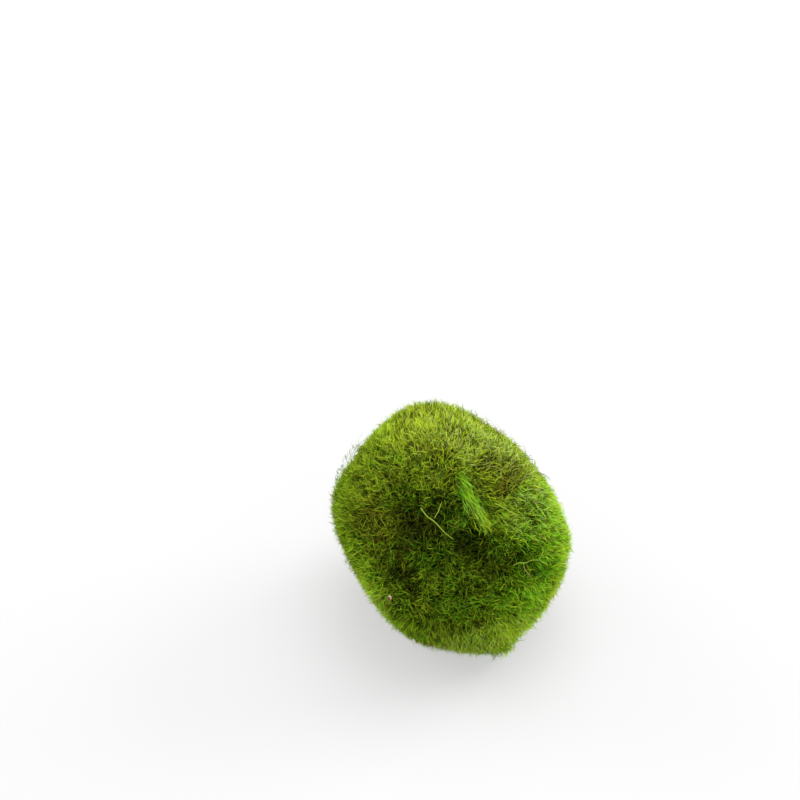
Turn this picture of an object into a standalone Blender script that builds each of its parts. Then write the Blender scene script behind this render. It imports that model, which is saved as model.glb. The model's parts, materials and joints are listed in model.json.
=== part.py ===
"""A marimo moss ball: one soft lump of packed algae filaments, at rest on a small flat spot.

The solid is the whole ball out to the tips of its filaments, as one piece, because the filaments
all grow from one tangled mass. Its form is a round lump whose sides have been pressed into soft
flats, with a ridge down from its crown and a few shallow hollows.

Metres, +Z up. The front faces -Y. The origin lies on the surface that the ball rests on, under
the middle of the ball's box.
"""

import math
from dataclasses import dataclass

import bmesh
import bpy
from mathutils import Vector, noise

MM = 0.001

# Driving dimensions.
MIDDLE_HEIGHT = 25.0 * MM  # the middle of the growth above the surface it rests on
FLAT_POWER = 8.0  # how sharply neighbouring flats meet: 2 is a ball, 30 is nearly a cut stone
SPHERE_DIVISIONS = 5  # 20 triangles, split in four this many times less one
LUMP_HEIGHT = 0.55 * MM
LUMP_SPACING = 9.0 * MM
CUT_MERGE = 0.05 * MM  # points this close to the flat spot are drawn onto it


@dataclass(frozen=True)
class Flat:
    """A pressed side: where it faces and how far it lies from the middle of the growth.

    Azimuth 0 is the front and 90 the right side. Elevation 90 is straight up.
    """

    name: str
    azimuth: float
    elevation: float
    distance: float


@dataclass(frozen=True)
class Dent:
    """A shallow dent, or a swelling where its depth is negative, centred on one direction."""

    name: str
    azimuth: float
    elevation: float
    spread: float  # degrees from its middle to where it has mostly died away
    depth: float


@dataclass(frozen=True)
class Ridge:
    """A swelling drawn out along the shortest way between two directions."""

    start: tuple[float, float]  # azimuth and elevation
    end: tuple[float, float]
    spread: float  # degrees from its top to where it has mostly died away
    height: float


FLATS = (
    Flat("crown", 10, 80, 28.6 * MM),
    Flat("crest", -165, 54, 34.6 * MM),
    Flat("left_shoulder", -116, 33, 26.6 * MM),
    Flat("back_right_slope", 130, 42, 24.5 * MM),
    Flat("right_shoulder", 108, 22, 25.4 * MM),
    Flat("right_side", 86, -8, 31.6 * MM),
    Flat("right_toe", 64, -28, 29.2 * MM),
    Flat("front_under", -2, -52, 31.3 * MM),
    Flat("left_under", -70, -22, 23.4 * MM),
    Flat("left_heel", -38, -43, 29.0 * MM),
    Flat("left_side", -98, 12, 29.8 * MM),
    Flat("left_cheek", -46, 28, 27.6 * MM),
    Flat("right_cheek", 48, 26, 28.0 * MM),
    Flat("face", 2, -2, 26.8 * MM),
    Flat("back", 176, -6, 27.8 * MM),
    Flat("back_left", -136, -24, 27.6 * MM),
    Flat("back_right", 136, -26, 28.0 * MM),
    Flat("back_crest", -172, 22, 28.8 * MM),
    Flat("back_heel", 172, -50, 28.6 * MM),
    Flat("underside", 0, -90, 25.8 * MM),
)

DENTS = (
    Dent("valley right of the ridge", 44, 62, 18, 1.4 * MM),
    Dent("gap above the bulge", 47, 38, 9, 1.1 * MM),
    Dent("bulge on the right", 52, 14, 16, -1.0 * MM),
    Dent("hollow at the foot of the ridge", 8, 30, 10, 0.9 * MM),
    Dent("hollow in the face", 20, 10, 14, 1.2 * MM),
    Dent("hollow left of the face", -27, 18, 12, 1.0 * MM),
    Dent("notch above the toe", 53, -36, 8, 1.2 * MM),
    Dent("toe", 34, -45, 11, -2.6 * MM),
    Dent("dip behind the crown", 150, 62, 16, 0.5 * MM),
    Dent("dip on the back", -158, 10, 18, 1.0 * MM),
    Dent("swelling on the back", 168, -22, 16, -0.8 * MM),
)

RIDGE = Ridge(start=(-70, 80), end=(23, 33), spread=11, height=1.7 * MM)


def direction(azimuth: float, elevation: float) -> Vector:
    """The unit vector that these two angles, in degrees, point along."""
    across, up = math.radians(azimuth), math.radians(elevation)
    level = math.cos(up)
    return Vector((level * math.sin(across), -level * math.cos(across), math.sin(up)))


def bell(angle: float, spread: float) -> float:
    """A smooth hump, 1 at no angle and nearly nothing past spread."""
    return math.exp(-2.0 * (angle / spread) ** 2)


def reach_of_flats(way: Vector) -> float:
    """How far the flats, blended into one another, let the ball reach along a direction."""
    total = 0.0
    for flat in FLATS:
        facing = way.dot(direction(flat.azimuth, flat.elevation))
        if facing > 0:
            total += (facing / flat.distance) ** FLAT_POWER
    return total ** (-1.0 / FLAT_POWER)


def dent_at(way: Vector) -> float:
    """How much the dents take off along a direction."""
    taken = 0.0
    for dent in DENTS:
        angle = math.degrees(way.angle(direction(dent.azimuth, dent.elevation)))
        taken += dent.depth * bell(angle, dent.spread)
    return taken


def ridge_at(way: Vector) -> float:
    """How much the ridge adds along a direction."""
    start = direction(*RIDGE.start)
    run = direction(*RIDGE.end) - start
    along = min(max((way - start).dot(run) / run.length_squared, 0.0), 1.0)
    angle = math.degrees(way.angle(start + along * run))
    return RIDGE.height * bell(angle, RIDGE.spread)


def lump_at(point: Vector) -> float:
    """The slow unevenness of a ball that grew as it rolled about."""
    return LUMP_HEIGHT * noise.noise(point / LUMP_SPACING)


def shape_growth(mesh: bmesh.types.BMesh) -> None:
    """Moves a unit ball's points out to the lump's skin."""
    for vertex in mesh.verts:
        way = vertex.co.normalized()
        reach = reach_of_flats(way) - dent_at(way) + ridge_at(way)
        vertex.co = way * (reach + lump_at(way * reach))


def cut_flat_spot(mesh: bmesh.types.BMesh) -> None:
    """Cuts the underside level, which leaves the small flat spot that the ball rests on."""
    bmesh.ops.bisect_plane(
        mesh,
        geom=mesh.verts[:] + mesh.edges[:] + mesh.faces[:],
        dist=CUT_MERGE,
        plane_co=(0.0, 0.0, -MIDDLE_HEIGHT),
        plane_no=(0.0, 0.0, -1.0),
        clear_outer=True,
    )
    rim = [edge for edge in mesh.edges if edge.is_boundary]
    for edge in rim:
        for vertex in edge.verts:
            vertex.co.z = -MIDDLE_HEIGHT
    bmesh.ops.contextual_create(mesh, geom=rim)
    bmesh.ops.recalc_face_normals(mesh, faces=mesh.faces)


def stand_on_origin(mesh: bmesh.types.BMesh) -> None:
    """Puts the flat spot at height 0 and the middle of the box over the origin."""
    across = [vertex.co.x for vertex in mesh.verts]
    deep = [vertex.co.y for vertex in mesh.verts]
    middle = Vector(((min(across) + max(across)) / 2, (min(deep) + max(deep)) / 2, -MIDDLE_HEIGHT))
    bmesh.ops.translate(mesh, verts=mesh.verts, vec=-middle)


def algae_material() -> bpy.types.Material:
    """Living green algae, wet and matt."""
    material = bpy.data.materials.new("algae_filaments")
    material.use_nodes = True
    shader = material.node_tree.nodes["Principled BSDF"]
    shader.inputs["Base Color"].default_value = (0.09, 0.17, 0.012, 1.0)
    shader.inputs["Roughness"].default_value = 0.85
    shader.inputs["Metallic"].default_value = 0.0
    return material


def moss_ball(parts: bpy.types.Collection) -> bpy.types.Object:
    """The ball, as one closed solid."""
    mesh = bmesh.new()
    bmesh.ops.create_icosphere(mesh, subdivisions=SPHERE_DIVISIONS, radius=1.0)
    shape_growth(mesh)
    cut_flat_spot(mesh)
    stand_on_origin(mesh)
    data = bpy.data.meshes.new("moss_ball")
    mesh.to_mesh(data)
    mesh.free()
    data.shade_smooth()
    data.materials.append(algae_material())
    ball = bpy.data.objects.new("moss_ball", data)
    parts.objects.link(ball)
    return ball


def main() -> None:
    """Clears the scene and models the ball."""
    for old in list(bpy.data.objects):
        bpy.data.objects.remove(old)
    parts = bpy.data.collections.new("marimo_moss_ball")
    bpy.context.scene.collection.children.link(parts)
    moss_ball(parts)


main()
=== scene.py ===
"""A marimo moss ball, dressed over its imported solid.

The solid gives the ball's form out to the tips of its filaments. Here it is replaced by what the
ball is made of: a matted body, and a coat of separate algae filaments that are rooted under the
solid's skin and end at it. Metres, +Z up, with the front facing -Y.
"""

import json
import logging
import math
from dataclasses import dataclass
from enum import Enum
from typing import Any, ClassVar

import bmesh
import bpy
import numpy as np
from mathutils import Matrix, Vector, noise
from mathutils.bvhtree import BVHTree

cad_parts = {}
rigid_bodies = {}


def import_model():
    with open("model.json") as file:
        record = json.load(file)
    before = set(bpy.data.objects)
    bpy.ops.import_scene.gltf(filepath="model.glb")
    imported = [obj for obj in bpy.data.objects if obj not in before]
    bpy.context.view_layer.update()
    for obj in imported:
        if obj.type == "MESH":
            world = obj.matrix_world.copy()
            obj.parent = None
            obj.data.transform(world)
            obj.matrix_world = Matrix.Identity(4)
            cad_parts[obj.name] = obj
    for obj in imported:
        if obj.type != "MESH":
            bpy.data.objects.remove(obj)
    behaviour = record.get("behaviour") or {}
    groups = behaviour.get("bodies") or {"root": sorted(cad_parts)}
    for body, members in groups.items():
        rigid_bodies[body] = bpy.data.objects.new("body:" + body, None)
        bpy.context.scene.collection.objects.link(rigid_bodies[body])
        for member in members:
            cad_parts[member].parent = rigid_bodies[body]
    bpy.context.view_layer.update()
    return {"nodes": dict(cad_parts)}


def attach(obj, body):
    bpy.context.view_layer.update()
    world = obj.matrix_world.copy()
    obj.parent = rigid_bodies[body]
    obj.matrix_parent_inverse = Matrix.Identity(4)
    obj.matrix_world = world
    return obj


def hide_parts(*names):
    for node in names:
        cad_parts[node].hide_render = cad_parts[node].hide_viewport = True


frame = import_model()

log = logging.getLogger("marimo")

MM = 0.001
NODE = "moss_ball"
SEED = 4127

Array = np.ndarray
Chances = np.random.Generator

MIDDLE = np.array((0.0, 0.0, 25.0 * MM))  # the point that angles over the ball are measured from
SAME_SPOT = 0.001 * MM  # corners nearer than this are one
TURN = 2 * math.pi


# -------- small tools


def unit(vectors: Array) -> Array:
    """Vectors, all brought to length 1."""
    return vectors / np.maximum(np.linalg.norm(vectors, axis=-1, keepdims=True), 1e-12)


def direction(azimuth: float, elevation: float) -> Array:
    """Turns two angles into a direction.

    Args:
        azimuth: Degrees round the ball: 0 is the front and 90 the right side.
        elevation: Degrees up from level.

    Returns:
        The unit vector.
    """
    across, up = math.radians(azimuth), math.radians(elevation)
    level = math.cos(up)
    return np.array((level * math.sin(across), -level * math.cos(across), math.sin(up)))


def linear(code: str) -> tuple[float, float, float, float]:
    """Turns a colour code into the linear colour that shaders take.

    Args:
        code: An sRGB code such as #6FA02C.

    Returns:
        The colour, with full alpha.
    """
    parts = [int(code[at : at + 2], 16) / 255 for at in (1, 3, 5)]
    bent = [c / 12.92 if c <= 0.04045 else ((c + 0.055) / 1.055) ** 2.4 for c in parts]
    return (*bent, 1.0)


def add_node(
    tree: bpy.types.NodeTree, kind: str, links: dict[Any, Any], **settings: Any
) -> bpy.types.Node:
    """Adds a node.

    Args:
        tree: The material's node tree.
        kind: The node's type name.
        links: For each input, by name or number, an output to link from or a value to set.
        **settings: The node's own settings, such as its operation.

    Returns:
        The node.
    """
    node = tree.nodes.new(kind)
    for name, value in settings.items():
        setattr(node, name, value)
    for name, value in links.items():
        if isinstance(value, bpy.types.NodeSocket):
            tree.links.new(value, node.inputs[name])
        else:
            node.inputs[name].default_value = value
    return node


def into_scene(name: str, data: bpy.types.ID) -> bpy.types.Object:
    """Puts a mesh, camera or light in the scene."""
    thing = bpy.data.objects.new(name, data)
    bpy.context.scene.collection.objects.link(thing)
    return thing


def noise_field(points: Array, spacing: float, shift: float = 0.0) -> Array:
    """Smooth random vectors, about -1 to 1, that change over a distance of spacing."""
    moved = points / spacing + shift
    return np.array([noise.noise_vector(Vector(point)) for point in moved])


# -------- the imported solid's skin


@dataclass(frozen=True)
class Skin:
    """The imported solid's surface: where the tips of the filaments are."""

    points: Array  # one row a corner
    normals: Array
    faces: Array  # three corners a face
    tree: BVHTree

    @classmethod
    def of(cls, node: bpy.types.Object) -> "Skin":
        """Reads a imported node's surface, with corners in one place joined.

        Args:
            node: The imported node.

        Returns:
            Its skin.
        """
        mesh = node.data
        corners = np.empty(len(mesh.vertices) * 3)
        mesh.vertices.foreach_get("co", corners)
        mesh.calc_loop_triangles()
        faces = np.empty(len(mesh.loop_triangles) * 3, dtype=np.int64)
        mesh.loop_triangles.foreach_get("vertices", faces)
        keys = np.round(corners.reshape(-1, 3) / SAME_SPOT).astype(np.int64)
        _, first, joined = np.unique(keys, axis=0, return_index=True, return_inverse=True)
        points = corners.reshape(-1, 3)[first]
        faces = joined.reshape(-1)[faces].reshape(-1, 3)
        tree = BVHTree.FromPolygons(points.tolist(), faces.tolist())
        return cls(points, cls.corner_normals(points, faces), faces, tree)

    @staticmethod
    def corner_normals(points: Array, faces: Array) -> Array:
        """Works out the outward directions at the corners.

        Args:
            points: The corners.
            faces: Three corners a face.

        Returns:
            Each corner's direction, averaged over the faces that meet there.
        """
        a, b, c = (points[faces[:, at]] for at in range(3))
        across = np.cross(b - a, c - a)
        normals = np.zeros_like(points)
        for at in range(3):
            np.add.at(normals, faces[:, at], across)
        return unit(normals)

    def scatter(self, count: int, rng: Chances) -> tuple[Array, Array]:
        """Picks points all over the skin, evenly by area.

        Args:
            count: How many points.
            rng: Where the chances come from.

        Returns:
            The points, and the outward direction at each.
        """
        a, b, c = (self.points[self.faces[:, at]] for at in range(3))
        area = np.linalg.norm(np.cross(b - a, c - a), axis=1)
        face = rng.choice(len(self.faces), size=count, p=area / area.sum())
        u, v = np.sqrt(rng.random(count)), rng.random(count)
        share = np.stack((1 - u, u * (1 - v), u * v), axis=1)[:, :, None]
        corners = self.faces[face]
        return (
            (self.points[corners] * share).sum(1),
            unit((self.normals[corners] * share).sum(1)),
        )

    def under(self, ways: Array) -> tuple[Array, Array]:
        """Finds where lines out from the ball's middle cross the skin.

        Args:
            ways: The directions of the lines, one row each.

        Returns:
            The crossings, and the outward direction at each.
        """
        hits = [self.tree.ray_cast(Vector(MIDDLE), Vector(way))[:2] for way in unit(ways)]
        return np.array([hit[0] for hit in hits]), np.array([hit[1] for hit in hits])


# -------- how the coat grows, place by place


@dataclass(frozen=True)
class Zone:
    """A place on the ball and how the coat grows there.

    ripe runs from deep green at 0 to yellow-green at 1, worn to olive brown at 1, and pale is the
    share of pale filaments, partly bleached ones and partly painted highlights. light is painted
    light and shade: how much brighter or darker the filaments are coloured, darker in hollows and
    brighter on the crest and rims. height is a share of the full coat. curl is how far the
    filaments wander, lean how far they lie over, and heading, where the tips point, is (right,
    back, up). Angles are in degrees.
    """

    name: str
    azimuth: float
    elevation: float
    spread: float
    ripe: float = 0.5
    worn: float = 0.2
    pale: float = 0.03
    # painted light and shade: how much brighter or darker the zone's filaments are coloured
    light: float = 1.0
    height: float = 1.0
    curl: float = 0.6
    lean: float = 50.0
    heading: tuple[float, float, float] = (0.0, 0.0, 0.0)


# The light column is painted light and shade: low in the hollows and gaps, high on the crest and rims.
ZONES = (
    Zone("crest", -109, 76, 22, 1.0, 0.15, 0.2, 1.9, 1.0, 0.4, 60, (-0.1, 0.6, 0.7)),
    Zone("top edge", -166, 66, 22, 0.85, 0.25, 0.25, 1.2, 1.0, 0.4, 35, (-0.1, 0.5, 0.8)),
    Zone("sage slope", 101, 76, 22, 0.75, 0.35, 0.7, 1.7, 1.0, 0.8, 50, (0.5, 0.5, 0.6)),
    Zone("right of sage", 85, 62, 14, 0.7, 0.35, 0.5, 1.25, 1.0, 0.8, 50, (0.6, 0.5, 0.5)),
    Zone("brown patch", 57, 59, 9, 0.5, 0.95, 0.15, 0.8, 0.85, 0.8, 60),
    Zone("valley", 30, 61, 12, 0.5, 0.55, 0.0, 0.5, 0.85, 0.6, 62, (0.7, -0.2, -0.3)),
    Zone("comb", 10, 51, 7, 0.15, 0.1, 0.1, 0.65, 1.0, 0.5, 66, (0.56, -0.6, -0.56)),
    Zone("foot of the comb", 5, 36, 8, 0.08, 0.4, 0.0, 0.12, 0.5, 0.9, 65),
    Zone("middle", -6, 47, 12, 0.12, 0.15, 0.03, 0.4, 0.95, 0.7, 65, (0.3, -0.2, 0.4)),
    Zone("left cheek", -40, 32, 16, 0.4, 0.6, 0.03, 0.72, 0.95, 0.9, 65, (-0.6, 0.2, -0.5)),
    Zone("left hollow", -24, 21, 11, 0.15, 0.4, 0.0, 0.12, 0.6, 0.9, 65),
    Zone("face", 1, 17, 14, 0.2, 0.3, 0.03, 0.75, 0.8, 0.95, 68),
    Zone("right hollow", 19, 24, 9, 0.2, 0.3, 0.0, 0.4, 0.6, 0.9, 65),
    Zone("vivid cheek", 43, 18, 13, 0.0, 0.0, 0.0, 0.45, 1.0, 0.6, 60, (0.8, 0.0, -0.2)),
    Zone("right cheek", 55, 25, 12, 0.4, 0.0, 0.06, 2.4, 1.0, 0.5, 52, (0.8, 0.1, -0.2)),
    Zone("shelf", 38, 48, 7, 0.4, 0.05, 0.1, 1.35, 1.0, 0.5, 60, (0.7, -0.2, 0.3)),
    Zone("above the comb", -6, 72, 7, 0.6, 0.4, 0.03, 0.8, 0.95, 0.6, 60),
    Zone("left of the crest", -50, 56, 14, 0.45, 0.3, 0.05, 0.65, 0.95, 0.7, 58, (-0.5, 0.3, 0.5)),
    Zone("crest corner", -138, 60, 9, 0.7, 0.7, 0.05, 0.75, 0.95, 0.5, 50, (-0.4, 0.4, 0.5)),
    Zone("low left", -38, 13, 10, 0.5, 0.2, 0.05, 1.7, 1.0, 0.7, 55, (-0.6, 0.0, 0.2)),
    Zone("right of the chin", 26, 0, 9, 0.25, 0.0, 0.03, 2.3, 1.0, 0.6, 58, (0.6, -0.2, 0.3)),
    Zone("under the comb", -8, 28, 6, 0.2, 0.1, 0.05, 0.4, 0.9, 0.8, 62),
    Zone("lower cheek", 37, -3, 10, 0.3, 0.0, 0.05, 2.9, 1.0, 0.6, 52, (0.7, -0.1, -0.3)),
    Zone("above the left cheek", -23, 42, 9, 0.4, 0.5, 0.02, 0.16, 0.85, 0.8, 62),
    Zone("brown rim", -22, -36, 9, 0.5, 1.0, 0.1, 1.0, 0.95, 0.7, 50, (-0.3, 0.0, -0.8)),
    Zone("below the crown", 42, 70, 9, 0.7, 0.4, 0.1, 1.5, 1.0, 0.6, 58, (0.6, -0.1, -0.2)),
    Zone("right rim", 76, 12, 20, 0.5, 0.0, 0.12, 3.0, 1.0, 0.5, 45, (0.8, 0.3, -0.3)),
    Zone("bulge", 62, 38, 16, 0.45, 0.05, 0.35, 2.2, 1.0, 0.5, 55, (0.8, -0.1, -0.4)),
    Zone("gap", 47, 44, 4, 0.3, 0.3, 0.0, 0.35, 0.5, 0.8, 60),
    Zone("toe", 36, -22, 17, 0.65, 0.0, 0.2, 3.0, 1.0, 0.5, 45, (0.5, -0.3, -0.6)),
    Zone("under the face", 2, -2, 15, 0.25, 0.15, 0.03, 1.05, 0.95, 0.8, 62, (0.5, -0.2, 0.6)),
    Zone("bottom", -8, -20, 12, 0.4, 0.35, 0.03, 0.75, 1.0, 0.6, 50, (-0.3, 0.0, -0.8)),
    Zone("lower left rim", -44, -8, 13, 0.65, 0.1, 0.15, 1.5, 1.0, 0.5, 40, (-0.5, 0.0, -0.4)),
    Zone("lower rim", 8, -30, 12, 0.55, 0.15, 0.3, 2.0, 1.0, 0.5, 45, (0.1, -0.1, -0.9)),
    Zone("left rim", -80, 22, 19, 0.55, 0.2, 0.05, 1.0, 1.0, 0.5, 45, (-0.6, 0.2, 0.2)),
    Zone("upper left", -78, 54, 18, 0.65, 0.2, 0.06, 1.1, 1.0, 0.6, 58, (-0.5, 0.3, 0.5)),
    Zone("back hollow", -158, 12, 20, 0.2, 0.4, 0.02, 0.5, 0.75, 0.9, 66, (-0.4, 0.2, -0.6)),
    Zone("back swelling", 168, -22, 18, 0.6, 0.1, 0.08, 1.2, 1.0, 0.5, 50, (0.2, 0.3, -0.7)),
    Zone("back right slope", 132, 40, 18, 0.45, 0.6, 0.2, 0.8, 0.95, 0.7, 58, (0.5, 0.5, -0.4)),
    Zone("back left", -134, -22, 18, 0.1, 0.0, 0.02, 0.75, 1.0, 0.6, 58, (-0.6, 0.2, -0.5)),
    Zone("behind the crest", 176, 34, 15, 0.75, 0.3, 0.1, 1.05, 1.0, 0.6, 55, (0.1, 0.6, -0.5)),
    Zone("right flank", 112, -14, 16, 0.3, 0.35, 0.03, 0.65, 0.9, 0.8, 62, (0.4, 0.5, -0.6)),
    Zone("underside", 0, -90, 28, 0.3, 0.7, 0.02, 0.6, 0.9, 0.8, 70),
)
ELSEWHERE = Zone("elsewhere", 0, 0, 0, 0.5, 0.25, 0.04, 1.0, 1.0, 0.65, 52)
ELSEWHERE_WEIGHT = 0.06


class Side(Enum):
    """The parts that the coat is made in, each named for the way it faces."""

    CROWN = (0.0, 0.0, 1.0)
    UNDERSIDE = (0.0, 0.0, -1.0)
    FRONT = (0.0, -1.0, 0.0)
    BACK = (0.0, 1.0, 0.0)
    RIGHT = (1.0, 0.0, 0.0)
    LEFT = (-1.0, 0.0, 0.0)


@dataclass
class Tufts:
    """Where each tuft is rooted and how it grows: one row a tuft."""

    root: Array
    normal: Array
    side: Array
    traits: dict[str, Array]
    flow: Array

    EDGE_REACH: ClassVar[float] = 0.13  # how far, in radians, the edge of a zone strays
    # painted shade: how much darker the filaments in a pit are coloured
    PIT_PAINTED_SHADE: ClassVar[float] = 0.6
    PIT_DEPTH: ClassVar[float] = 0.35  # the share of the coat that is missing in a pit

    @classmethod
    def sown(cls, skin: Skin, count: int, rng: Chances) -> "Tufts":
        """Sows a number of tufts all over the skin."""
        return cls.planted(*skin.scatter(count, rng))

    @classmethod
    def planted(cls, root: Array, normal: Array) -> "Tufts":
        """Plants tufts at given points and works out each one's traits from the zones.

        Args:
            root: The points.
            normal: The outward direction at each.

        Returns:
            The tufts.
        """
        wander = noise_field(root, 7.0 * MM) + 0.6 * noise_field(root, 2.6 * MM, shift=31.0)
        way = unit(unit(root - MIDDLE) + cls.EDGE_REACH * wander)
        shares = [np.full(len(root), ELSEWHERE_WEIGHT)]
        for zone in ZONES:
            nearness = np.clip(way @ direction(zone.azimuth, zone.elevation), -1, 1)
            shares.append(np.exp(-2.0 * (np.degrees(np.arccos(nearness)) / zone.spread) ** 2))
        share = np.stack(shares, axis=1)
        share /= share.sum(1, keepdims=True)
        table = (ELSEWHERE, *ZONES)
        traits = {
            name: share @ np.array([getattr(zone, name) for zone in table])
            for name in ("ripe", "worn", "pale", "light", "height", "curl", "lean")
        }
        patches = noise_field(root, 5.0 * MM, shift=7.0)
        fine = noise_field(root, 1.3 * MM, shift=50.0)
        traits["ripe"] = np.clip(traits["ripe"] + 0.28 * patches[:, 0] + 0.15 * fine[:, 0], 0, 1)
        traits["worn"] = np.clip(traits["worn"] + 0.35 * patches[:, 1] + 0.15 * fine[:, 1], 0, 1)
        # Pits are shallower, and their filaments are coloured darker as painted shade.
        pits = np.clip(noise_field(root, 2.2 * MM, shift=90.0)[:, 0] * 2.2 - 0.4, 0, 1)
        # The zones' painted light and shade, with random variation laid over it.
        varied = 1 + 0.25 * patches[:, 2] + 0.9 * fine[:, 2]
        traits["light"] = traits["light"] * varied * (1 - cls.PIT_PAINTED_SHADE * pits)
        traits["height"] = traits["height"] * (1 - cls.PIT_DEPTH * pits)
        heading = share @ np.array([zone.heading for zone in table])
        heading = heading + 0.45 * noise_field(root, 6.0 * MM, shift=13.0) + 0.35 * fine
        side = np.argmax(unit(root - MIDDLE) @ np.array([s.value for s in Side]).T, axis=1)
        return cls(root, normal, side, traits, cls.laid(heading, normal))

    @staticmethod
    def laid(heading: Array, normal: Array) -> Array:
        """Headings laid flat on the skin."""
        return unit(heading - (heading * normal).sum(-1, keepdims=True) * normal)

    def on(self, side: Side) -> "Tufts":
        """Picks out the tufts on one side.

        Args:
            side: The side.

        Returns:
            Its tufts.
        """
        kept = self.side == list(Side).index(side)
        traits = {name: values[kept] for name, values in self.traits.items()}
        return Tufts(self.root[kept], self.normal[kept], self.side[kept], traits, self.flow[kept])


# -------- filaments


@dataclass(frozen=True)
class Layer:
    """One layer of the coat: how its filaments are cut and laid."""

    name: str
    per_tuft: int
    joints: int  # points along each filament
    rooted: float  # how far under the skin the filaments start
    reach: tuple[float, float]  # shares of the way out to the skin where they end
    half_width: float
    spread: float  # how far from the middle of its tuft a filament starts
    turns: float  # waves along a filament
    stray: float  # how far, in radians, a filament's heading strays from its tuft's
    # how bright the layer's filaments are coloured, least to most; the undercoat's low range is painted
    # shade deep in the coat
    light: tuple[float, float]
    draw_together: float = 0.0  # how much the tips of a tuft close up
    lean: float = 1.0  # a share of the tuft's own lean
    depth: float = 1.0  # how strongly the zones' painted light and shade tell in this layer
    every: int = 1  # tufts from one that has filaments of this layer to the next


LAYERS = (
    Layer(
        name="undercoat", per_tuft=3, joints=4, rooted=3.4 * MM, reach=(0.4, 0.8),
        half_width=0.145 * MM, spread=0.8 * MM, turns=0.6, stray=1.6,
        light=(0.16, 0.45), depth=1.6,
    ),
    Layer(
        name="topcoat", per_tuft=5, joints=5, rooted=2.5 * MM, reach=(0.5, 1.15),
        half_width=0.1 * MM, spread=0.75 * MM, turns=0.9, draw_together=0.1, stray=1.15,
        light=(0.18, 2.75),
    ),
    Layer(
        name="wisps", every=2, per_tuft=1, joints=7, rooted=2.6 * MM, reach=(0.95, 1.42),
        half_width=0.085 * MM, spread=0.6 * MM, turns=1.2, stray=1.2,
        lean=0.95, light=(0.8, 1.7),
    ),
)
BRIGHTEST = 1.3  # more than this and a filament would give back more light than falls on it
MOST_LEAN = 84.0  # degrees from upright
LEAST_RISE = 0.36  # the least height gained for each length grown


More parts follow.
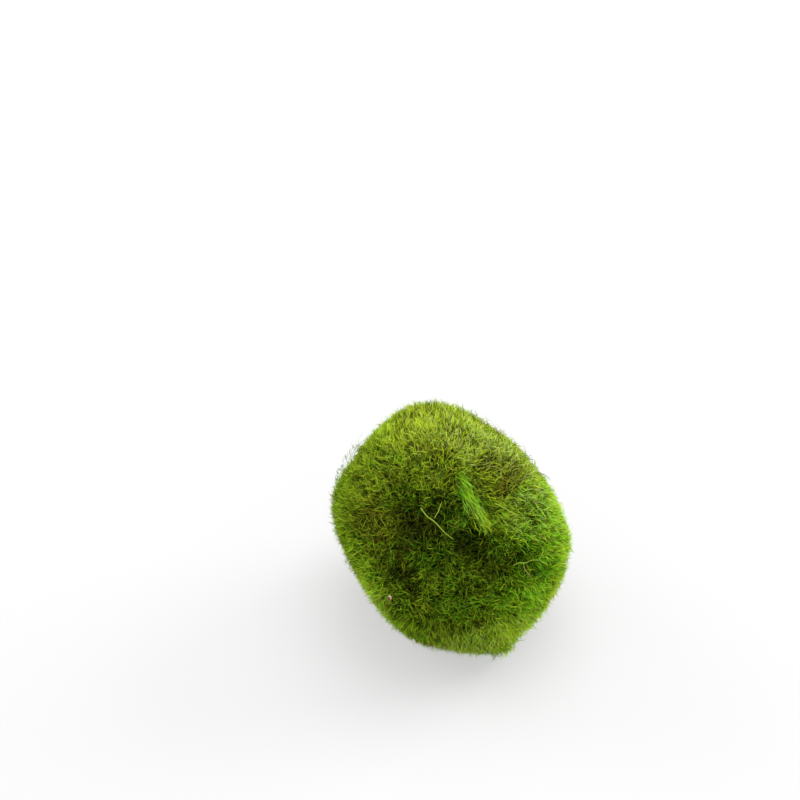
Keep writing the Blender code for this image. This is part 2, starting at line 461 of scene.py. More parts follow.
@dataclass
class Filaments:
    """Filaments as bare lines with what the mesh and the colours need to know of them."""

    line: Array  # filament, joint, xyz
    outward: Array
    half_width: Array  # filament, joint
    roll: Array
    marks: dict[str, Array]  # one value a filament
    lit_from: float = 0.0  # how far along the painted root shade, in colour, the root already is

    @classmethod
    def grown(cls, tufts: Tufts, layer: Layer, rng: Chances) -> "Filaments":
        """Grows one layer of filaments from tufts.

        Args:
            tufts: The tufts.
            layer: How the filaments are cut and laid.
            rng: Where the chances come from.

        Returns:
            The filaments.
        """
        pick = np.repeat(np.arange(0, len(tufts.root), layer.every), layer.per_tuft)
        count = len(pick)
        normal, flow = tufts.normal[pick], tufts.flow[pick]
        across = np.cross(normal, flow)
        bearing = rng.normal(0, 1, count) * layer.stray * (0.4 + tufts.traits["curl"][pick])
        along = flow * np.cos(bearing)[:, None] + across * np.sin(bearing)[:, None]
        side = np.cross(normal, along)
        lean = tufts.traits["lean"][pick] * layer.lean + rng.normal(0, 12, count)
        lean = np.radians(np.clip(lean, 0, MOST_LEAN))
        curl = tufts.traits["curl"][pick] * rng.uniform(0.3, 1.0, count)
        step = (np.arange(layer.joints - 1) + 0.5) / (layer.joints - 1)
        angle = lean[:, None] * (0.35 + 0.75 * step)
        turn = TURN * layer.turns * rng.uniform(0.6, 1.4, count)
        sway = np.sin(turn[:, None] * step + rng.uniform(0, TURN, count)[:, None])
        bend = np.sin(turn[:, None] * step + rng.uniform(0, TURN, count)[:, None])
        course = unit(
            normal[:, None] * (np.cos(angle) + 0.35 * curl[:, None] * bend)[:, :, None]
            + along[:, None] * np.sin(angle)[:, :, None]
            + side[:, None] * (curl[:, None] * sway)[:, :, None]
        )
        rise = np.maximum((course * normal[:, None]).sum(2).mean(1), LEAST_RISE)
        target = layer.rooted * rng.uniform(*layer.reach, count) * tufts.traits["height"][pick]
        length = target / rise
        spot, far = rng.uniform(0, TURN, count), layer.spread * np.sqrt(rng.random(count))
        offset = flow * (np.cos(spot) * far)[:, None] + across * (np.sin(spot) * far)[:, None]
        s = np.arange(layer.joints) / (layer.joints - 1)
        closing = layer.draw_together * rng.uniform(0.2, 1.0, count)
        line = np.zeros((count, layer.joints, 3))
        line[:, 1:] = np.cumsum(course * (length / (layer.joints - 1))[:, None, None], axis=1)
        line += (tufts.root[pick] - normal * layer.rooted)[:, None]
        line += offset[:, None] * (1 - closing[:, None] * s)[:, :, None]
        resting = (0.13 + 0.2 * rng.random(count))[:, None] * MM
        line[:, :, 2] = np.maximum(line[:, :, 2], resting)
        width = layer.half_width * rng.uniform(0.75, 1.2, count)[:, None] * (1 - 0.55 * s**2)
        marks = {name: tufts.traits[name][pick] for name in ("ripe", "worn")}
        marks["ripe"] = np.clip(marks["ripe"] + rng.normal(0, 0.24, count), 0, 1)
        marks["worn"] = np.clip(marks["worn"] + rng.normal(0, 0.2, count), 0, 1.2)
        # pale filaments: partly bleached ones and partly painted highlights
        marks["pale"] = np.clip(tufts.traits["pale"][pick] * 2.4 * rng.random(count) ** 3, 0, 0.6)
        # The tone mark: each zone's painted light and shade, strongest in the undercoat, times a random
        # tone of the filament's own.
        light = np.maximum(tufts.traits["light"][pick], 0.05) ** layer.depth
        low, high = layer.light
        tone = light * (low + (high - low) * rng.random(count) ** 2)
        marks["tone"] = np.minimum(tone, BRIGHTEST)
        return cls(line, normal, width, rng.normal(0, 0.6, count), marks)

    @classmethod
    def single(
        cls, line: Array, outward: Array, half_width: float, looks: "Thread", tone: float = 1.0
    ) -> "Filaments":
        """One filament along a given line.

        Args:
            line: Its joints.
            outward: The way out from the ball there.
            half_width: Half its width at the root.
            looks: What colours it.
            tone: How bright it is beside its looks.

        Returns:
            The filament.
        """
        taper = 1 - 0.5 * (np.arange(len(line)) / (len(line) - 1)) ** 3
        marks = {name: np.array([getattr(looks, name)]) for name in ("ripe", "worn", "pale")}
        marks["tone"] = np.array([min(looks.light * tone, BRIGHTEST)])
        return cls(line[None], outward[None], half_width * taper[None], np.zeros(1), marks, 0.75)


class RibbonMesh:
    """Gathers filaments as tapered ribbons and makes one mesh of them."""

    ROUNDING = 0.85  # how far the shading turns from a ribbon's middle to its edges, in radians
    CELL_SHAPE = 4.0  # how many times longer than wide a filament's cell of the map is
    CELL_MARGIN = 0.12

    def __init__(self) -> None:
        """Starts with nothing gathered."""
        self.points: list[Array] = []
        self.normals: list[Array] = []
        self.marks: dict[str, list[Array]] = {}
        self.faces: list[Array] = []
        self.sizes: list[Array] = []
        self.cells: list[tuple[Array, Array]] = []
        self.point_count = 0
        self.filament_count = 0

    def gather(self, grown: Filaments) -> None:
        """Adds filaments, each a ribbon that ends in a point.

        Args:
            grown: The filaments.
        """
        count, joints, _ = grown.line.shape
        tangent = unit(np.gradient(grown.line, axis=1))
        side = unit(np.cross(tangent, grown.outward[:, None]) + 1e-9)
        face = np.cross(side, tangent)
        cos, sin = np.cos(grown.roll[:, None, None]), np.sin(grown.roll[:, None, None])
        side, face = side * cos + face * sin, face * cos - side * sin
        left = grown.line - side * grown.half_width[:, :, None]
        right = grown.line + side * grown.half_width[:, :, None]
        straight, aside = math.cos(self.ROUNDING), math.sin(self.ROUNDING)
        body = joints - 1
        pairs = np.stack((left, right), axis=2)[:, :body].reshape(count, -1, 3)
        points = np.concatenate((pairs, grown.line[:, -1:]), axis=1)
        shading = np.stack((face * straight - side * aside, face * straight + side * aside), axis=2)
        normals = np.concatenate((shading[:, :body].reshape(count, -1, 3), face[:, -1:]), axis=1)
        per = 2 * body + 1
        first = self.point_count + per * np.arange(count)[:, None]
        rungs = 2 * np.arange(body - 1)[None, :]
        quads = np.stack([first + rungs + at for at in (0, 1, 3, 2)], axis=2).reshape(count, -1)
        tip = first + np.array([[per - 3, per - 2, per - 1]])
        self.faces.append(np.concatenate((quads, tip), axis=1).reshape(-1))
        self.sizes.append(np.tile(np.array([4] * (body - 1) + [3]), count))
        s = np.append(np.repeat(np.arange(body), 2), body) / body
        u = np.append(np.tile((0.0, 1.0), body), 0.5)
        number = self.filament_count + np.repeat(np.arange(count), per)
        self.cells.append((number, np.tile(np.stack((u, s), 1), (count, 1))))
        self.points.append(points.reshape(-1, 3))
        self.normals.append(normals.reshape(-1, 3))
        for name, values in grown.marks.items():
            self.marks.setdefault(name, []).append(np.repeat(values, per))
        along = grown.lit_from + (1 - grown.lit_from) * s
        self.marks.setdefault("along", []).append(np.tile(along, count))
        self.point_count += per * count
        self.filament_count += count

    def laid_out(self) -> Array:
        """Lays the ribbons out flat, each in a cell of its own.

        Returns:
            Each point's place on the map.
        """
        columns = math.ceil(math.sqrt(self.filament_count * self.CELL_SHAPE))
        rows = math.ceil(self.filament_count / columns)
        number = np.concatenate([cell[0] for cell in self.cells])
        within = np.concatenate([cell[1] for cell in self.cells])
        within = self.CELL_MARGIN + (1 - 2 * self.CELL_MARGIN) * within
        column, row = number % columns + within[:, 0], number // columns + within[:, 1]
        return np.stack((column / columns, row / rows), 1)

    def built(self, name: str, material: bpy.types.Material) -> bpy.types.Object:
        """Makes the mesh object.

        Args:
            name: The piece's name.
            material: What the filaments are made of.

        Returns:
            The object, riding on the ball's body.
        """
        mesh = bpy.data.meshes.new(name)
        points, faces = np.concatenate(self.points), np.concatenate(self.faces)
        sizes = np.concatenate(self.sizes)
        mesh.vertices.add(len(points))
        mesh.vertices.foreach_set("co", points.astype(np.float32).reshape(-1))
        mesh.loops.add(len(faces))
        mesh.loops.foreach_set("vertex_index", faces.astype(np.int32))
        mesh.polygons.add(len(sizes))
        mesh.polygons.foreach_set("loop_start", (np.cumsum(sizes) - sizes).astype(np.int32))
        mesh.update(calc_edges=True)
        mesh.shade_smooth()
        layout = mesh.uv_layers.new(name="OFBake")
        layout.uv.foreach_set("vector", self.laid_out()[faces].astype(np.float32).reshape(-1))
        for mark, values in self.marks.items():
            attribute = mesh.attributes.new(mark, "FLOAT", "POINT")
            attribute.data.foreach_set("value", np.concatenate(values).astype(np.float32))
        mesh.normals_split_custom_set_from_vertices(unit(np.concatenate(self.normals)).tolist())
        mesh.materials.append(material)
        triangles = (sizes - 2).sum()
        log.info("%s: %d filaments, %d triangles", name, self.filament_count, triangles)
        return placed(name, mesh)


def placed(name: str, mesh: bpy.types.Mesh) -> bpy.types.Object:
    """Puts a mesh in the scene as a piece of the ball.

    Args:
        name: The piece's name.
        mesh: Its mesh.

    Returns:
        The piece.
    """
    piece = into_scene(name, mesh)
    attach(piece, "root")
    return piece


# -------- finishes


class Finish:
    """What a surface is made of."""

    def made(self, name: str) -> bpy.types.Material:
        """Makes the material.

        Args:
            name: The material's name.

        Returns:
            The material.
        """
        material = bpy.data.materials.new(name)
        material.use_nodes = True
        self.lay_out(material.node_tree)
        return material

    def lay_out(self, tree: bpy.types.NodeTree) -> None:
        """Lays out the material's nodes."""
        raise NotImplementedError


@dataclass(frozen=True)
class AlgaeFinish(Finish):
    """Living algae filaments: deep green when young, yellow-green when lit, olive when worn.

    The filaments let light through, which makes the edge of the ball glow. Their colour also carries
    painted light and shade: darker towards the roots, a painted highlight on the tips, and each zone's
    painted brightness in the tone mark.
    """

    deep: str = "#62BE10"
    ripe: str = "#CEE026"
    worn: str = "#A09414"
    rust: str = "#A27426"
    # painted highlight: filament tips are coloured towards this pale yellow
    tip: str = "#E4E85A"
    # bleached filaments, whose pale colour also stands in for painted highlights
    pale: str = "#D8E09A"
    # painted shade: filaments are coloured towards this dark olive near their roots, deep in the coat
    root: str = "#363A04"
    through: str = "#B4DC28"
    glow: float = 0.45
    roughness: float = 0.6

    def lay_out(self, tree: bpy.types.NodeTree) -> None:
        """Lays out the material's nodes.

        Args:
            tree: The material's node tree.
        """
        tree.nodes.clear()
        mark = {
            at: add_node(tree, "ShaderNodeAttribute", {}, attribute_name=at).outputs["Fac"]
            for at in ("along", "ripe", "worn", "pale", "tone")
        }
        links = {"Value": mark["worn"], "From Min": 0.85, "From Max": 1.2}
        spent = add_node(tree, "ShaderNodeMapRange", links)
        # Painted highlight: the last quarter of each filament is coloured towards the pale yellow tip.
        links = {"Value": mark["along"], "From Min": 0.75, "From Max": 1.0, "To Max": 0.35}
        tip = add_node(tree, "ShaderNodeMapRange", links)
        colour: Any = linear(self.deep)
        for share, code in (
            (mark["ripe"], self.ripe),
            (mark["worn"], self.worn),
            (spent.outputs[0], self.rust),
            (mark["pale"], self.pale),
            (tip.outputs[0], self.tip),
        ):
            links = {0: share, 6: colour, 7: linear(code)}
            colour = add_node(tree, "ShaderNodeMix", links, data_type="RGBA").outputs[2]
        # Painted shade: each filament is coloured darker towards its root.
        links = {"Value": mark["along"], "From Min": 0.2, "From Max": 0.8}
        painted_root_shade = add_node(tree, "ShaderNodeMapRange", links, interpolation_type="SMOOTHSTEP")
        links = {0: painted_root_shade.outputs[0], 6: linear(self.root), 7: colour}
        lit = add_node(tree, "ShaderNodeMix", links, data_type="RGBA")
        # The tone mark scales the colour: the zones' painted light and shade, times each filament's own
        # random tone.
        links = {0: lit.outputs[2], "Scale": mark["tone"]}
        scaled = add_node(tree, "ShaderNodeVectorMath", links, operation="SCALE").outputs[0]
        links = {"Base Color": scaled, "Roughness": self.roughness, "Specular IOR Level": 0.06}
        surface = add_node(tree, "ShaderNodeBsdfPrincipled", links)
        links = {0: 1.0, 6: scaled, 7: linear(self.through)}
        tint = add_node(tree, "ShaderNodeMix", links, data_type="RGBA", blend_type="MULTIPLY")
        passing = add_node(tree, "ShaderNodeBsdfTranslucent", {"Color": tint.outputs[2]})
        links = {0: self.glow, 1: surface.outputs[0], 2: passing.outputs[0]}
        both = add_node(tree, "ShaderNodeMixShader", links)
        add_node(tree, "ShaderNodeOutputMaterial", {"Surface": both.outputs[0]})


@dataclass(frozen=True)
class MattedFinish(Finish):
    """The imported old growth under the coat: felted dark filaments in patches of olive and brown.

    It has no shine and a fibrous grain, which makes the gaps in the coat look deep.
    """

    living: str = "#2E360C"
    dead: str = "#2C2410"
    patch: float = 2.5 * MM  # how wide a patch of one age is
    strand: float = 0.3 * MM  # a felted filament's width
    stretch: float = 5.0  # how many times longer than wide the grain is
    relief: float = 0.25 * MM

    def lay_out(self, tree: bpy.types.NodeTree) -> None:
        """Lays out the material's nodes.

        Args:
            tree: The material's node tree.
        """
        shader = tree.nodes["Principled BSDF"]
        shader.inputs["Roughness"].default_value = 0.95
        shader.inputs["Specular IOR Level"].default_value = 0.1
        place = add_node(tree, "ShaderNodeTexCoord", {}).outputs["Object"]
        links = {"Vector": place, "Scale": 1 / self.patch, "Detail": 3.0}
        patches = add_node(tree, "ShaderNodeTexNoise", links)
        links = {"Vector": place, "Rotation": (0.5, 0.7, 0.2), "Scale": (1, 1 / self.stretch, 1)}
        drawn = add_node(tree, "ShaderNodeMapping", links)
        links = {"Vector": drawn.outputs[0], "Scale": 1 / self.strand, "Distortion": 1.5}
        grain = add_node(tree, "ShaderNodeTexNoise", links)
        links = {"Value": patches.outputs[0], "From Min": 0.35, "From Max": 0.65}
        age = add_node(tree, "ShaderNodeMapRange", links)
        links = {0: age.outputs[0], 6: linear(self.living), 7: linear(self.dead)}
        colour = add_node(tree, "ShaderNodeMix", links, data_type="RGBA")
        links = {"Value": grain.outputs[0], "To Min": 0.5, "To Max": 1.5}
        shade = add_node(tree, "ShaderNodeMapRange", links)
        links = {0: colour.outputs[2], "Scale": shade.outputs[0]}
        felt = add_node(tree, "ShaderNodeVectorMath", links, operation="SCALE")
        tree.links.new(felt.outputs[0], shader.inputs["Base Color"])
        links = {"Height": grain.outputs[0], "Distance": self.relief, "Strength": 1.0}
        bump = add_node(tree, "ShaderNodeBump", links)
        tree.links.new(bump.outputs[0], shader.inputs["Normal"])


@dataclass(frozen=True)
class LightTableFinish(Finish):
    """The white acrylic of a light table, part of whose light comes from beneath.

    It glows more far out, where the studio's lights fade, so that it stays white to its edge.
    """

    colour: str = "#8A8A8A"
    glow: float = 0.5
    far_glow: float = 0.74
    fades: tuple[float, float] = (0.5, 2.2)  # metres from the ball where the lights fade

    def lay_out(self, tree: bpy.types.NodeTree) -> None:
        """Lays out the material's nodes.

        Args:
            tree: The material's node tree.
        """
        shader = tree.nodes["Principled BSDF"]
        shader.inputs["Base Color"].default_value = linear(self.colour)
        shader.inputs["Roughness"].default_value = 0.9
        shader.inputs["Specular IOR Level"].default_value = 0.0
        shader.inputs["Emission Color"].default_value = (1, 1, 1, 1)
        place = add_node(tree, "ShaderNodeTexCoord", {}).outputs["Object"]
        far = add_node(tree, "ShaderNodeVectorMath", {0: place}, operation="LENGTH")
        fades = {"From Min": self.fades[0], "From Max": self.fades[1]}
        links = {"Value": far.outputs["Value"], "To Min": self.glow, "To Max": self.far_glow}
        glow = add_node(tree, "ShaderNodeMapRange", {**links, **fades})
        tree.links.new(glow.outputs[0], shader.inputs["Emission Strength"])


@dataclass(frozen=True)
class ShellFinish(Finish):
    """A chip of freshwater shell: a chalky cream cap, one amber stain and a dark underside."""

    cap: str = "#D8CCB0"
    amber: str = "#D9A45A"
    under: str = "#4E3426"
    cap_way: tuple[float, float, float] = (0.45, 0.45, 0.77)  # where the cap faces
    stain: tuple[float, float, float] = (0.6, -0.6, 0.4)  # its middle, as shares of the chip's size

    def lay_out(self, tree: bpy.types.NodeTree) -> None:
        """Lays out the material's nodes.

        Args:
            tree: The material's node tree.
        """
        shader = tree.nodes["Principled BSDF"]
        shader.inputs["Roughness"].default_value = 0.45
        place = add_node(tree, "ShaderNodeTexCoord", {}).outputs["Object"]
        links = {0: place, "Scale": 1 / (0.5 * MM)}
        size = add_node(tree, "ShaderNodeVectorMath", links, operation="SCALE").outputs[0]
        speckle = add_node(tree, "ShaderNodeTexNoise", {"Vector": size, "Scale": 2.5})
        links = {0: size, 1: self.cap_way}
        height = add_node(tree, "ShaderNodeVectorMath", links, operation="DOT_PRODUCT")
        links = {0: speckle.outputs[0], 1: 0.8, 2: height.outputs["Value"]}
        edge = add_node(tree, "ShaderNodeMath", links, operation="MULTIPLY_ADD")
        links = {"Value": edge.outputs[0], "From Min": 0.85, "From Max": 1.05}
        above = add_node(tree, "ShaderNodeMapRange", links)
        links = {0: size, 1: self.stain}
        far = add_node(tree, "ShaderNodeVectorMath", links, operation="DISTANCE")
        links = {"Value": far.outputs["Value"], "From Min": 0.6, "From Max": 0.4}
        near = add_node(tree, "ShaderNodeMapRange", links)
        links = {0: above.outputs[0], 6: linear(self.under), 7: linear(self.cap)}
        whole = add_node(tree, "ShaderNodeMix", links, data_type="RGBA")
        links = {0: near.outputs[0], 6: whole.outputs[2], 7: linear(self.amber)}
        stained = add_node(tree, "ShaderNodeMix", links, data_type="RGBA")
        tree.links.new(stained.outputs[2], shader.inputs["Base Color"])


# -------- what stands out from the coat


def eased(points: Array, joints: int) -> Array:
    """Rounds off a path through a few points.

    Args:
        points: The points.
        joints: How many joints the rounded line has.

    Returns:
        The line's joints, evenly spaced.
    """
    fine, window = 80, 17  # steps along the whole path, and steps that each joint is averaged over
    at = np.linspace(0, len(points) - 1, fine)
    known = np.arange(len(points))
    dense = np.stack([np.interp(at, known, along) for along in points.T], axis=1)
    padded = np.pad(dense, ((window // 2,) * 2, (0, 0)), mode="reflect", reflect_type="odd")
    mean = np.ones(window) / window
    smooth = np.stack([np.convolve(along, mean, mode="valid") for along in padded.T], axis=1)
    return smooth[np.linspace(0, fine - 1, joints).round().astype(int)]


@dataclass(frozen=True)
class Thread:
    """One filament that has come away from the coat and lies on it."""

    name: str
    way: tuple[tuple[float, float, float], ...]  # azimuth, elevation and millimetres above the skin
    half_width: float = 0.115 * MM
    ripe: float = 0.5
    worn: float = 0.0
    pale: float = 0.18
    light: float = 1.0

    def line(self, skin: Skin, joints: int) -> tuple[Array, Array]:
        """Lays the thread over the skin.

        Args:
            skin: The skin.
            joints: How many joints the thread has.

        Returns:
            Its joints, and the outward direction where it lies.
        """
        ways = np.array([direction(azimuth, elevation) for azimuth, elevation, _ in self.way])
        points, normals = skin.under(ways)
        lift = np.array([height for _, _, height in self.way])[:, None] * MM
        return eased(points + normals * lift, joints), unit(normals.mean(0))


@dataclass(frozen=True)
class StrayThreads:
    """The pale threads that lie over the coat, and one that has turned reddish brown."""

    joints: int = 14
    threads: tuple[Thread, ...] = (
        Thread(
            "across the middle",
            ((-21, 49, 0.1), (-15, 46, 0.7), (-11, 45, 0.6), (-5, 41, 0.8), (0, 38, 0.1)),
            0.1 * MM,
        ),
        Thread("its branch", ((-11, 46, 0.6), (-9, 49, 0.7), (-8, 53, 0.1)), 0.08 * MM, 0.4),
        Thread(
            "over the cheek",
            ((29, 21, 0.1), (32, 22, 0.7), (35, 20, 0.8), (39, 20, 0.6), (44, 17, 0.6)),
            0.085 * MM,
        ),
        Thread("upper fork", ((43, 18, 0.6), (46, 20, 0.7), (48, 22, 0.1)), 0.07 * MM),
        Thread("lower fork", ((43, 18, 0.6), (45, 15, 0.7), (47, 13, 0.1)), 0.07 * MM),
        Thread(
            "brown",
            ((34, 21, 0.7), (34, 17, 0.8), (36, 14, 0.7), (38, 10, 0.2)),
            half_width=0.12 * MM,
            ripe=0.3,
            worn=0.9,
            pale=0.3,
            light=0.65,
        ),
        Thread(
            "over the valley",
            ((26, 50, 0.2), (30, 47, 0.7), (36, 43, 0.7), (41, 41, 0.1)),
            0.08 * MM,
        ),
        Thread("behind", ((150, 30, 0.3), (158, 36, 1.0), (166, 38, 1.0), (172, 34, 0.3))),
        Thread("on the right side", ((96, 10, 0.3), (101, 4, 1.0), (104, -3, 0.9), (103, -8, 0.2))),
    )

    def build(self, skin: Skin, material: bpy.types.Material) -> None:
        """Builds the threads as one piece.

        Args:
            skin: The skin that they lie over.
            material: What they are made of.
        """
        ribbons = RibbonMesh()
        for thread in self.threads:
            line, outward = thread.line(skin, self.joints)
            ribbons.gather(Filaments.single(line, outward, thread.half_width, thread))
        ribbons.built("stray_threads", material)


@dataclass(frozen=True)
class CombedRidge:
    """The long filaments that all lie one way, down the ridge from the crown to the right."""

    way: tuple[tuple[float, float], ...] = ((1, 67), (4, 62), (8, 57), (11, 52), (14, 47))
    heading: tuple[float, float, float] = (0.5, -0.62, -0.6)
    tuft_count: int = 230
    half_breadth: float = 0.01  # radians over the ball
    layer: Layer = Layer(
        name="combed", per_tuft=3, joints=8, rooted=2.6 * MM, reach=(0.6, 1.25),
        half_width=0.09 * MM, spread=0.4 * MM, turns=0.7, draw_together=0.25, stray=0.15,
        light=(0.45, 1.9),
    )
    # The ridge's light is painted light: its filaments are coloured brighter than the coat around them.
    even_traits: tuple[tuple[str, float], ...] = (
        ("pale", 0.12), ("light", 1.15), ("height", 1.0), ("curl", 0.45), ("lean", 70.0)
    )

    def build(self, skin: Skin, material: bpy.types.Material, rng: Chances) -> None:
        """Builds the ridge's filaments as one piece.

        Args:
            skin: The skin that they grow out to.
            material: What they are made of.
            rng: Where the chances come from.
        """
        ways = np.array([direction(*spot) for spot in self.way])
        share = rng.random(self.tuft_count)
        at = share * (len(ways) - 1)
        known = np.arange(len(ways))
        path = np.stack([np.interp(at, known, along) for along in ways.T], axis=1)
        aside = unit(np.cross(path, np.array(self.heading)))
        off = rng.normal(0, 1, self.tuft_count) * self.half_breadth * (1.3 - 0.9 * share)
        path = path + aside * off[:, None]
        tufts = Tufts.planted(*skin.under(path))
        tufts.flow = Tufts.laid(np.tile(self.heading, (self.tuft_count, 1)), tufts.normal)
        tufts.traits["ripe"] = 0.12 + 0.6 * share**2 + 0.15 * rng.normal(0, 1, self.tuft_count)
        tufts.traits["worn"] = 0.25 * share**3
        for trait, value in self.even_traits:
            tufts.traits[trait] = np.full(self.tuft_count, value)
        ribbons = RibbonMesh()
        ribbons.gather(Filaments.grown(tufts, self.layer, rng))
        ribbons.built("combed_ridge", material)


@dataclass(frozen=True)
class FeatheryTuft:
    """A loose tuft on the upper left edge: stems that lie along it, each with side branches."""

    base: tuple[float, float] = (-103.0, 25.0)
    tip: tuple[float, float] = (-101.0, 50.0)
    lift: tuple[float, float, float] = (0.1, 1.6, 2.1)  # millimetres above the skin, base to tip
    stems: int = 9
    branches: int = 15
    branch: float = 2.3 * MM
    looks: Thread = Thread("looks", (), 0.09 * MM, 0.4, 0.2, 0.1, 0.75)

    def build(self, skin: Skin, material: bpy.types.Material, rng: Chances) -> None:
        """Builds the tuft as one piece.

        Args:
            skin: The skin that it lies along.
            material: What it is made of.
            rng: Where the chances come from.
        """
        ribbons = RibbonMesh()
        for _ in range(self.stems):
            line, outward = self.stem(skin, rng)
            tone = rng.uniform(0.5, 1.2)
            ribbons.gather(Filaments.single(line, outward, self.looks.half_width, self.looks, tone))
            for spot in rng.uniform(0.1, 1.0, self.branches):
                branch = self.branched(line, outward, spot, rng)
                tone = rng.uniform(0.4, 1.3)
                ribbons.gather(Filaments.single(branch, outward, 0.07 * MM, self.looks, tone))
        ribbons.built("feathery_tuft", material)

    def stem(self, skin: Skin, rng: Chances) -> tuple[Array, Array]:
        """Lays one stem.

        Args:
            skin: The skin that it lies along.
            rng: Where the chances come from.

        Returns:
            The stem's joints, and the outward direction there.
        """
        start, end = rng.normal(0, 5.5, 2) + self.base, rng.normal(0, 6.5, 2) + self.tip
        share = np.linspace(0, 1, 6)
        angles = start + share[:, None] * (end - start) + rng.normal(0, 1.8, (6, 2))
        lift = np.interp(share, (0, 0.5, 1), self.lift) * rng.uniform(0.2, 1.2) + rng.uniform(0, 0.4, 6)
        way = tuple((float(a), float(e), float(up)) for (a, e), up in zip(angles, lift))
        return Thread("stem", way).line(skin, 12)

    def branched(self, line: Array, outward: Array, spot: float, rng: Chances) -> Array:
        """A side branch's joints.

        Args:
            line: The stem's joints.
            outward: The way out from the ball there.
            spot: How far along the stem the branch leaves it.
            rng: Where the chances come from.

        Returns:
            The branch's joints.
        """
        at = min(int(spot * 11), 10)
        along = unit(line[at + 1] - line[at])
        turn = rng.uniform(0, TURN)
        aside = np.cross(outward, along) * math.cos(turn) + outward * abs(math.sin(turn)) * 0.6
        length = self.branch * rng.uniform(0.35, 1.1) * (1.15 - 0.5 * spot)
        step = np.linspace(0, 1, 5)[:, None]
        bow = rng.normal(0, 0.35, 3)
        return line[at] + length * (step * along + (step - 0.4 * step**2) * aside + step * (1 - step) * bow)


@dataclass(frozen=True)
class ShellChip:
    """A chip of shell the size of a sand grain, caught in the coat low on the left."""

    azimuth: float = -29.0
    elevation: float = 4.0
    lift: float = 0.15 * MM
    half_size: tuple[float, float, float] = (0.48 * MM, 0.4 * MM, 0.55 * MM)
    roughening: float = 0.16

    def build(self, skin: Skin) -> None:
        """Builds the chip as one piece.

        Args:
            skin: The skin that it sits on.
        """
        shape = bmesh.new()
        bmesh.ops.create_icosphere(shape, subdivisions=4, radius=1.0)
        for point in shape.verts:
            rough = noise.noise(point.co * 1.3) + 0.5 * noise.noise(point.co * 3.1)
            square = max(abs(c) for c in point.co)  # pulls the round form towards a block
            point.co *= (1 + self.roughening * rough) * (0.75 + 0.25 / square)
            point.co = Vector(c * half for c, half in zip(point.co, self.half_size))
        mesh = bpy.data.meshes.new("shell_chip")
        shape.to_mesh(mesh)
        shape.free()
        mesh.shade_smooth()
        mesh.materials.append(ShellFinish().made("weathered_shell"))
        piece = into_scene("shell_chip", mesh)
        points, normals = skin.under(direction(self.azimuth, self.elevation)[None])
        piece.location = Vector(points[0] + normals[0] * self.lift)
        bpy.context.view_layer.update()
        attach(piece, "root")
        log.info("shell_chip: %d faces", len(mesh.polygons))


# -------- the ball


@dataclass
class MossBall:
    """The ball: its matted body, its coat and what stands out from the coat."""

    skin: Skin
    tuft_count: int = 16800
    body_depth: float = 3.2 * MM

    def build(self) -> None:
        """Builds and dresses every piece of the ball."""
        rng = np.random.default_rng(SEED)
        self.build_body()
        tufts = Tufts.sown(self.skin, self.tuft_count, rng)
        algae = AlgaeFinish().made("living_algae_filaments")
        for side in Side:
            self.build_coat(side, tufts.on(side), algae, rng)
        CombedRidge().build(self.skin, algae, rng)
        FeatheryTuft().build(self.skin, algae, rng)
        StrayThreads().build(self.skin, algae)
        ShellChip().build(self.skin)

    def build_body(self) -> None:
        """Builds the matted body that the coat is rooted in."""
        inner = self.skin.points - self.skin.normals * self.body_depth
        inner[:, 2] = np.maximum(inner[:, 2], 0.6 * MM)
        mesh = bpy.data.meshes.new("matted_body")
        mesh.from_pydata(inner.tolist(), [], self.skin.faces.tolist())
        mesh.shade_smooth()
        mesh.materials.append(MattedFinish().made("packed_old_growth"))
        piece = placed("matted_body", mesh)
        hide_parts(NODE)
        log.info("matted_body: %d faces", len(mesh.polygons))

    def build_coat(
        self, side: Side, tufts: Tufts, algae: bpy.types.Material, rng: Chances
    ) -> None:
        """Builds one side's filaments as one piece.

        Args:
            side: The side.
            tufts: The side's tufts.
            algae: What the filaments are made of.
            rng: Where the chances come from.
        """
        ribbons = RibbonMesh()
        for layer in LAYERS:
            ribbons.gather(Filaments.grown(tufts, layer, rng))
        ribbons.built(f"coat_{side.name.lower()}", algae)


# -------- the studio


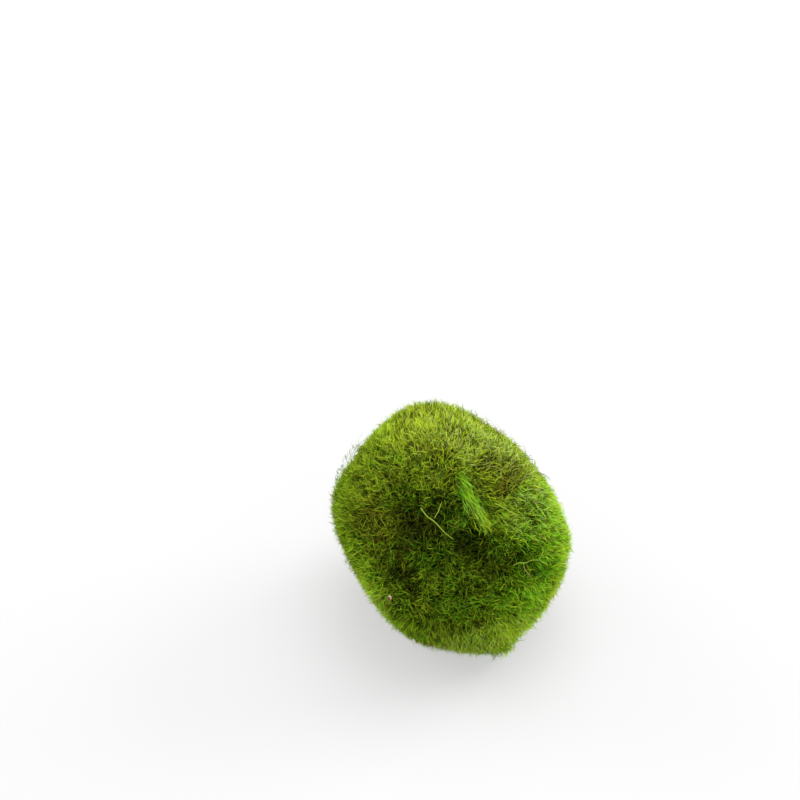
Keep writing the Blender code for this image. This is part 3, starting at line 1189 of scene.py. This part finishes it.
@dataclass(frozen=True)
class Studio:
    """The camera, the light table and the soft lights."""

    look_down: float = 40.0
    lens: float = 85.0
    sensor: float = 36.0
    frame_width: float = 180.2 * MM  # what the frame spans at the ball
    ball_right: float = 11.4 * MM  # where the ball's middle sits from the middle of the frame
    ball_below: float = 28.2 * MM
    table_half: float = 6.0  # wide enough that its edge is far behind the ball

    def place_camera(self) -> None:
        """Places the camera, raised, with the ball low and a little right in its frame."""
        down = math.radians(self.look_down)
        forward = Vector((0.0, math.cos(down), -math.sin(down)))
        upward = Vector((0.0, math.sin(down), math.cos(down)))
        aim = Vector(MIDDLE) - Vector((self.ball_right, 0.0, 0.0)) + upward * self.ball_below
        data = bpy.data.cameras.new("camera")
        data.lens, data.sensor_width = self.lens, self.sensor
        data.clip_start, data.clip_end = 0.01, 20.0
        camera = into_scene("camera", data)
        camera.location = aim - forward * (self.frame_width * self.lens / self.sensor)
        camera.rotation_euler = forward.to_track_quat("-Z", "Y").to_euler()
        bpy.context.scene.camera = camera

    def lay_floor(self) -> None:
        """Lays the table top."""
        mesh = bpy.data.meshes.new("table_top")
        half = self.table_half
        corners = [(-half, -half, 0), (half, -half, 0), (half, half, 0), (-half, half, 0)]
        mesh.from_pydata(corners, [], [(0, 1, 2, 3)])
        mesh.materials.append(LightTableFinish().made("white_acrylic"))
        into_scene("table_top", mesh)

    def hang_light(
        self, name: str, place: tuple[float, float, float], size: float, power: float
    ) -> None:
        """Hangs one square soft light, aimed at the ball.

        Args:
            name: The light's name.
            place: Where it hangs.
            size: How wide it is.
            power: Its power in watts.
        """
        data = bpy.data.lights.new(name, "AREA")
        data.shape, data.size, data.energy = "SQUARE", size, power
        light = into_scene(name, data)
        light.location = place
        aim = Vector(MIDDLE) - Vector(place)
        light.rotation_euler = aim.to_track_quat("-Z", "Y").to_euler()

    def light(self) -> None:
        """Lights the ball softly, mostly from above and behind."""
        self.hang_light("overhead", (0.2, 0.4, 1.8), 1.6, 26.0)
        self.hang_light("back_left", (-1.5, 0.8, 0.9), 1.0, 11.0)
        self.hang_light("back_right", (1.5, 0.7, 0.9), 1.0, 23.0)
        world = bpy.data.worlds.new("studio_air")
        world.use_nodes = True
        world.node_tree.nodes["Background"].inputs["Color"].default_value = (1, 1, 1, 1)
        world.node_tree.nodes["Background"].inputs["Strength"].default_value = 1.0
        bpy.context.scene.world = world
        bpy.context.scene.view_settings.view_transform = "Standard"


def main() -> None:
    """Sets up the studio and builds the ball."""
    logging.basicConfig(level=logging.INFO, format="%(message)s")
    noise.seed_set(SEED)  # the offsets of noise vectors otherwise come from the clock
    studio = Studio()
    studio.place_camera()
    MossBall(Skin.of(frame["nodes"][NODE])).build()
    studio.lay_floor()
    studio.light()


if __name__ == "__main__":
    main()
